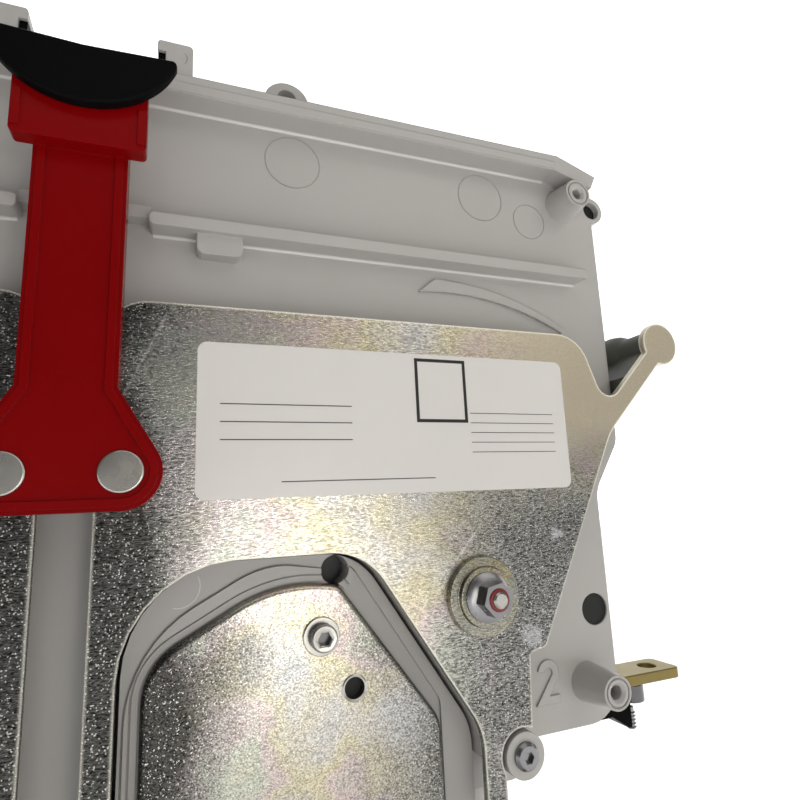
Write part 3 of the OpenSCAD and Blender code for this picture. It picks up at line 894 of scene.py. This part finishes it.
def cap_knurl():
    """The knurled band round a cap screw's head, and a dark disc of painted shade at the floor of its
    socket.
    """
    bm = bmesh.new()
    plain = (KNURL_INNER_R, KNURL_INNER_R)
    low, high = KNURL_REACH
    rings = []
    for depth, radii in ((low, plain), (low, KNURL_R), (high, KNURL_R), (high, plain)):
        rings.append([bm.verts.new((radius * MM * math.cos(math.pi * i / KNURLS), -depth * MM,
                                    radius * MM * math.sin(math.pi * i / KNURLS)))
                      for i, radius in enumerate(radii * KNURLS)])
    for first, second in zip(rings, rings[1:] + rings[:1]):
        wall_between(bm, first, second)
    # Painted shade: a dark steel disc at the socket's floor
    hexagon(bm, *SOCKET_SHADE_DISC)
    return template("cap_knurl_pattern", bm)


def hole_collar():
    """The pressed rim of a plain hole."""
    return template("hole_collar_pattern", turned(COLLAR))


repeat("cap_screws", cap_screw(), four_sides(*CAP_SCREW, POLE_Y), SCREW)
repeat("cap_knurls", cap_knurl(), four_sides(*CAP_SCREW, POLE_Y), DARK_STEEL)
repeat("hole_collars", hole_collar(), four_sides(*PLAIN_HOLE, POLE_Y), SCREW)


# Screws in the lower bosses

BOSS_Y = WALL_Y - 12.8 * MM
PAN_HEAD = [(0, 0), (4.6, 0), (4.6, 1.0), (3.6, 2.0), (2.1, 2.2), (1.9, 2.1), (1.9, 0.6), (0, 0.6)]
PAN_SOCKET = (1.9, 3.4)


def pan_screw():
    """A round head screw with a hexagon socket."""
    bm = turned(PAN_HEAD, 48)
    hex_socket(bm, *PAN_SOCKET)
    return template("pan_screw_pattern", bm)


repeat("boss_screws", pan_screw(), four_sides(*BOSS, BOSS_Y), CLAMP_STEEL)


# Rating label: a plain white film with an empty frame and blank form rules

LABEL_X = (34.0, 172.0)
LABEL_H = (89.8, 139.6)
LABEL_CORNER = 3.0
LABEL_FRONT = YOKE_Y - 0.15 * MM
LABEL_BACK = YOKE_Y + 0.02 * MM
INK_FRONT = LABEL_FRONT - 0.05 * MM
BOX_X = (108.0, 128.5)
BOX_H = (114.5, 138.0)
BOX_LINE = 1.2
# Blank rules: left end, right end, thickness and heights
RULES = ((41.0, 84.0, 0.35, (119.5, 113.8, 108.1)), (60.0, 114.0, 0.35, (94.6,)),
         (129.5, 166.0, 0.25, (118.0, 114.4, 110.8, 107.2, 103.6)))


def box(x0, x1, h0, h1):
    """A plain box outline."""
    return [(x0, h0), (x1, h0), (x1, h1), (x0, h1)]


def label_film():
    """The white film on the front right yoke."""
    bm = bmesh.new()
    prism(bm, rounded_box(*LABEL_X, *LABEL_H, LABEL_CORNER), LABEL_BACK, LABEL_FRONT)
    to_object("rating_label", bm, LABEL, smooth=False)


def label_frame():
    """The empty frame, printed as one closed line."""
    outer = box(*BOX_X, *BOX_H)
    bm = bmesh.new()
    pressed(bm, [(outer, LABEL_FRONT), (outer, INK_FRONT)], [drawn_in(outer, BOX_LINE)], 1, 1)
    to_object("label_frame", bm, INK, smooth=False)


def label_rules():
    """The blank rules of the form."""
    bm = bmesh.new()
    for x0, x1, thick, heights in RULES:
        for h in heights:
            prism(bm, box(x0, x1, h, h + thick), LABEL_FRONT, INK_FRONT)
    to_object("label_rules", bm, FAINT_INK, smooth=False)


label_film()
label_frame()
label_rules()


# Raised marks on the wall

MARK_ROOT = 0.1
ARROW_HEIGHT = 1.3
ARROW_R = 116.0
ARROW_ENDS = (96.3, 62.2)
ARROW_TOP_END = 92.6
ARROW_WIDTH = (2.4, 5.4)
ARROW_STEPS = 28
FIGURE_PLACE = (161.7, 10.4)
FIGURE_SIZE = 14.6
FIGURE_LINE = 2.9
FIGURE_HEIGHT = 0.8
# Round witness lines: across, up and radius
WITNESS_RINGS = ((67.3, 215.8, 10.6), (148.4, 214.9, 10.7), (172.6, 207.4, 8.2))
WITNESS_LINE = 0.4
WITNESS_DEPTHS = (-0.05, 0.14)


def raised(name, outlines, height):
    """Flat marks that stand up from the front wall."""
    bm = bmesh.new()
    for points in outlines:
        prism(bm, points, WALL_Y + MARK_ROOT * MM, WALL_Y - height * MM)
    to_object(name, bm, GREY, sharp=25.0)


def swing_arrow():
    """The curved arrow round the pivot, thinner toward its right end."""
    low = arc(*PIVOT, ARROW_R, *ARROW_ENDS, ARROW_STEPS)
    high = []
    for i in range(ARROW_STEPS + 1):
        part = i / ARROW_STEPS
        reach = ARROW_R + ARROW_WIDTH[0] + (ARROW_WIDTH[1] - ARROW_WIDTH[0]) * part
        angle = math.radians(ARROW_ENDS[1] + (ARROW_TOP_END - ARROW_ENDS[1]) * part)
        high.append((PIVOT[0] + reach * math.cos(angle), PIVOT[1] + reach * math.sin(angle)))
    return low + high


def stroke(path, width):
    """The outline of a pen stroke along a path."""
    left = []
    right = []
    for i, spot in enumerate(path):
        here = Vector(spot)
        ahead = (Vector(path[min(i + 1, len(path) - 1)]) - here).normalized()
        behind = (here - Vector(path[max(i - 1, 0)])).normalized()
        way = (ahead + behind).normalized()
        side = Vector((-way.y, way.x))
        lean = max(0.42, side.dot(Vector((-ahead.y, ahead.x)) if i == 0 else Vector((-behind.y, behind.x))))
        left.append(tuple(here + side * width / 2 / lean))
        right.append(tuple(here - side * width / 2 / lean))
    return left + right[::-1]


def figure_two(x, h, size):
    """The plain figure that numbers the right terminal."""
    bowl = arc(x, h + 0.73 * size, 0.22 * size, 170, -28, 16)
    return bowl + [(x - 0.23 * size, h + 0.08 * size), (x + 0.30 * size, h + 0.08 * size)]


def figure_one(x, h, size):
    """The plain figure that numbers the left terminal."""
    return [(x - 0.22 * size, h + 0.74 * size), (x + 0.04 * size, h + 0.92 * size), (x + 0.04 * size, h)]


def terminal_figures():
    """The outlines of the figures beside the right and the left terminal."""
    x, h = FIGURE_PLACE
    figures = (figure_two(x, h, FIGURE_SIZE), figure_one(-x, h, FIGURE_SIZE))
    return [stroke(path, FIGURE_LINE) for path in figures]


def ejector_ring(radius):
    """The fine round witness line that an ejector leaves on a moulding."""
    inner = radius - WITNESS_LINE
    low, high = WITNESS_DEPTHS
    return template("witness_line_pattern", turned(
        [(inner, low), (inner, high), (radius, high), (radius, low), (inner, low)], 64))


raised("swing_arrows", [swing_arrow(), [(-x, h) for x, h in swing_arrow()]], ARROW_HEIGHT)
raised("terminal_figures", terminal_figures(), FIGURE_HEIGHT)
for i, (x, h, radius) in enumerate(WITNESS_RINGS):
    repeat("witness_lines_%d" % i, ejector_ring(radius), four_sides(x, h, WALL_Y), GREY)


# Fillets at the foot of the rim and of the long ribs

RIM_LOW = 228.4
RIB_LOW = 179.4
RIM_REACH = 181.5
RIB_ENDS = (19.5, 193.3)
RIM_FACE_Y = WALL_Y - 10.0 * MM
FILLET_R = 0.9
FILLET_ROOT = 0.05
FILLET_STEPS = 8
BAND_H = (RIM_LOW + 0.5, RIM_LOW + 4.1)
BAND_Y = (RIM_FACE_Y + 0.1 * MM, RIM_FACE_Y - 0.3 * MM)


def fillet(bm, x0, x1, h, face):
    """A hollow rounding along X between a rib's underside and the wall."""
    wall = WALL_Y + FILLET_ROOT * MM
    line = [(wall, h + FILLET_ROOT), (WALL_Y - FILLET_R * MM, h + FILLET_ROOT)]
    for i in range(FILLET_STEPS + 1):
        angle = math.radians(90 - 90 * i / FILLET_STEPS)
        line.append((WALL_Y - FILLET_R * MM * (1 - math.cos(angle)), h - FILLET_R * (1 - math.sin(angle))))
    line.append((wall, h - FILLET_R))
    rings = [[bm.verts.new(place(x, z, y * face)) for y, z in line] for x in (x0, x1)]
    closed_between(bm, *rings)


def wall_fillets():
    """The hollow roundings under the rim and under each long rib, in a lighter grey as a painted highlight.
    """
    bm = bmesh.new()
    for face in (1, -1):
        fillet(bm, -RIM_REACH, RIM_REACH, RIM_LOW, face)
        for s in (1, -1):
            fillet(bm, s * RIB_ENDS[0], s * RIB_ENDS[1], RIB_LOW, face)
    to_object("wall_fillets", bm, HIGHLIGHT_GREY, sharp=40.0)


def rim_bands():
    """The slightly proud lower land of the rim."""
    bm = bmesh.new()
    for face in (1, -1):
        prism(bm, box(-RIM_REACH, RIM_REACH, *BAND_H), BAND_Y[0] * face, BAND_Y[1] * face)
    soften(to_object("rim_bands", bm, GREY), 0.12, 2)


wall_fillets()
rim_bands()


# Black blocks and marks on the tabs, dark discs of painted shade in the plain holes, marks on the frames

TAB_Y = WALL_Y - 9.0 * MM
TAB_BLOCK_X = (19.4, 21.7)
TAB_BLOCK_H = (238.1, 244.1)
TAB_BLOCK_Y = (TAB_Y + 8.0 * MM, TAB_Y + 1.2 * MM)
TAB_MARK = arc(26.4, 242.8, 2.5, -48, 48, 8)
TAB_MARK_LINE = 0.35
TAB_MARK_Y = (TAB_Y + 0.05 * MM, TAB_Y - 0.15 * MM)
LAND_Y = PLATE_BACK - OUTER_LAND * MM
FRAME_MARK = arc(30.4, 64.2, 6.0, -105, 28, 16)
FRAME_MARK_LINE = 0.25
FRAME_MARK_Y = (LAND_Y + 0.05 * MM, LAND_Y - 0.08 * MM)
SHADE_DISC_THICK = 0.3 * MM
# Each hole's place, the radius of its disc of painted shade and the level of the disc
HOLE_SHADE_DISCS = ((PLAIN_HOLE, 3.3, POLE_Y + 3.4 * MM), (WALL_HOLE, 6.05, WALL_Y + 1.0 * MM),
              (EAR_HOLE, 4.15, WALL_Y + 3.2 * MM))


def tab_catches():
    """A small black block beside each tab."""
    bm = bmesh.new()
    prism_on_four_sides(bm, box(*TAB_BLOCK_X, *TAB_BLOCK_H), *TAB_BLOCK_Y)
    to_object("tab_catches", bm, BLACK)


def hole_backs():
    """Dark discs of painted shade in the plain holes of the pole plates, the wall and its ears."""
    bm = bmesh.new()
    for spot, radius, depth in HOLE_SHADE_DISCS:
        prism_on_four_sides(bm, circle(*spot, radius), depth, depth - SHADE_DISC_THICK)
    to_object("hole_backs", bm, HOLE_SHADE)


def tab_marks():
    """A short curved witness line on each tab."""
    bm = bmesh.new()
    prism_on_four_sides(bm, stroke(TAB_MARK, TAB_MARK_LINE), *TAB_MARK_Y)
    to_object("tab_marks", bm, GREY)


def frame_marks():
    """A curved witness line on the outer land of each pole frame, in a lighter grey as a painted highlight.
    """
    bm = bmesh.new()
    prism_on_four_sides(bm, stroke(FRAME_MARK, FRAME_MARK_LINE), *FRAME_MARK_Y)
    to_object("frame_marks", bm, HIGHLIGHT_GREY)


tab_catches()
hole_backs()
tab_marks()
frame_marks()


# Terminal screws, with levels in millimetres above the floor

BAR_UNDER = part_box("terminal_bar_right")[0][2] / MM
CLAMP_PLACE = (241.0, -3.0)
CLAMP_LEVELS = (BAR_UNDER - 8.2, BAR_UNDER - 0.05)
CLAMP_R = 6.3
THREAD_PLACE = (234.2, -9.0)
THREAD_LEVELS = (BAR_UNDER - 18.0, BAR_UNDER - 8.4)
THREAD_CORE = 1.8
THREAD_CREST = 2.5
THREAD_PITCH = 1.6
THREAD_FLANK = 0.35


def clamp_screw(x, y, low, high):
    """A plain round screw standing up."""
    bm = bmesh.new()
    bmesh.ops.create_cone(bm, cap_ends=True, segments=36, radius1=CLAMP_R * MM, radius2=CLAMP_R * MM,
                          depth=(high - low) * MM,
                          matrix=Matrix.Translation((x * MM, y * MM, (low + high) / 2 * MM)))
    return bm


def coarse_thread(x, y, low, high):
    """A screw standing up, with one raised ring for each turn of a coarse thread."""
    profile = [(0, low), (THREAD_CORE, low)]
    for i in range(int((high - low) / THREAD_PITCH)):
        middle = low + (i + 0.5) * THREAD_PITCH
        profile.extend([(THREAD_CORE, middle - THREAD_FLANK), (THREAD_CREST, middle),
                        (THREAD_CORE, middle + THREAD_FLANK)])
    profile.extend([(THREAD_CORE, high), (0, high)])
    bm = turned(profile, 28)
    bm.transform(Matrix.Translation((x * MM, y * MM, 0)) @ Matrix.Rotation(math.radians(-90), 4, "X"))
    return bm


for side, s in (("left", -1), ("right", 1)):
    clamp = clamp_screw(s * CLAMP_PLACE[0], CLAMP_PLACE[1], *CLAMP_LEVELS)
    soften(to_object("terminal_screw_" + side, clamp, DARK_STEEL), 0.6)
    thread = coarse_thread(s * THREAD_PLACE[0], THREAD_PLACE[1], *THREAD_LEVELS)
    to_object("thread_screw_" + side, thread, CLAMP_STEEL)


# Floor, light and camera

FLOOR = [(-6, -4, 0), (6, -4, 0), (6, 5, 0), (-6, 5, 0)]
BACKDROP = [(-9, 3.2, -1), (9, 3.2, -1), (9, 3.2, 9), (-9, 3.2, 9)]
SKY_COLOUR = (1.0, 0.99, 0.97, 1.0)
SKY_STRENGTH = 0.18
WARM = (1.0, 0.95, 0.88)
# Lights: name, place, aim, size and power
LIGHTS = (("top_light", (0.15, -0.9, 1.5), (0.1, 0, 0.2), (1.2, 1.0), 2.6),
          ("key_light", (0.78, -1.1, 0.95), (0.1, 0, 0.2), (0.9, 0.7), 2.45),
          ("front_glow", (0.150, -0.46, 0.150), (0.070, -0.06, 0.170), (0.14, 0.08), 0.18),
          ("low_glow", (0.088, -0.30, 0.100), (0.055, -0.057, 0.144), (0.03, 0.03), 0.026),
          ("edge_light", (1.1, -0.30, 0.2), (0.15, 0, 0.2), (0.3, 0.8), 1.5))
FLOOR_LIGHT = ("floor_light", (0.2, 2.2, 3.4), (0.2, 2.2, 0), (9.0, 4.0), 300)
CAMERA_SPOT = Vector((0.0275, YOKE_Y - 0.185, 0.180))
CAMERA_RIGHT = Vector((0.92997, -0.36479, -0.04567))
CAMERA_UP = Vector((-0.02560, -0.18817, 0.98180))
PHOTO_FOCUS = 573.0
PHOTO_WIDTH = 800.0
SENSOR = 36.0


def stage_plane(name, corners, finish):
    """A flat piece of the stage, which isn't part of the contactor."""
    mesh = bpy.data.meshes.new(name)
    mesh.from_pydata(corners, [], [range(len(corners))])
    mesh.materials.append(finish)
    made = bpy.data.objects.new(name, mesh)
    bpy.context.scene.collection.objects.link(made)


def studio():
    """A white floor and backdrop under a faint sky."""
    floor = Finish("studio_floor")
    floor.set(Base_Color=(0.93, 0.93, 0.93, 1.0), Roughness=0.9)
    stage_plane("studio_floor", FLOOR, floor.material)
    backdrop = Finish("studio_backdrop")
    backdrop.set(Base_Color=(0.9, 0.9, 0.9, 1.0), Roughness=1.0, Emission_Color=(1, 1, 1, 1),
                 Emission_Strength=1.0)
    stage_plane("studio_backdrop", BACKDROP, backdrop.material)
    world = bpy.data.worlds.new("studio_world")
    bpy.context.scene.world = world
    world.use_nodes = True
    sky = world.node_tree.nodes["Background"]
    sky.inputs["Color"].default_value = SKY_COLOUR
    sky.inputs["Strength"].default_value = SKY_STRENGTH


def area_light(name, spot, target, size, power, colour=(1, 1, 1)):
    """A flat lamp aimed at a place."""
    lamp = bpy.data.lights.new(name, "AREA")
    lamp.shape = "RECTANGLE"
    lamp.size, lamp.size_y = size
    lamp.energy = power
    lamp.color = colour
    made = bpy.data.objects.new(name, lamp)
    bpy.context.scene.collection.objects.link(made)
    made.location = spot
    made.rotation_euler = (Vector(target) - Vector(spot)).to_track_quat("-Z", "Y").to_euler()
    return made


def light_the_floor():
    """A lamp that only the floor receives."""
    lamp = area_light(*FLOOR_LIGHT)
    lit_floor = bpy.data.collections.new("lit_floor")
    lit_floor.objects.link(bpy.data.objects["studio_floor"])
    lamp.light_linking.receiver_collection = lit_floor


def camera():
    """The camera at the photo's place."""
    data = bpy.data.cameras.new("photo_camera")
    data.sensor_width = SENSOR
    data.lens = PHOTO_FOCUS * SENSOR / PHOTO_WIDTH
    data.clip_start = 0.005
    made = bpy.data.objects.new("photo_camera", data)
    bpy.context.scene.collection.objects.link(made)
    back = CAMERA_RIGHT.cross(CAMERA_UP)
    made.matrix_world = Matrix.Translation(CAMERA_SPOT) @ Matrix(
        (CAMERA_RIGHT, CAMERA_UP, back)).transposed().to_4x4()
    bpy.context.scene.camera = made


studio()
for light in LIGHTS:
    area_light(*light, WARM)
light_the_floor()
camera()
bpy.context.scene.view_settings.view_transform = "Standard"
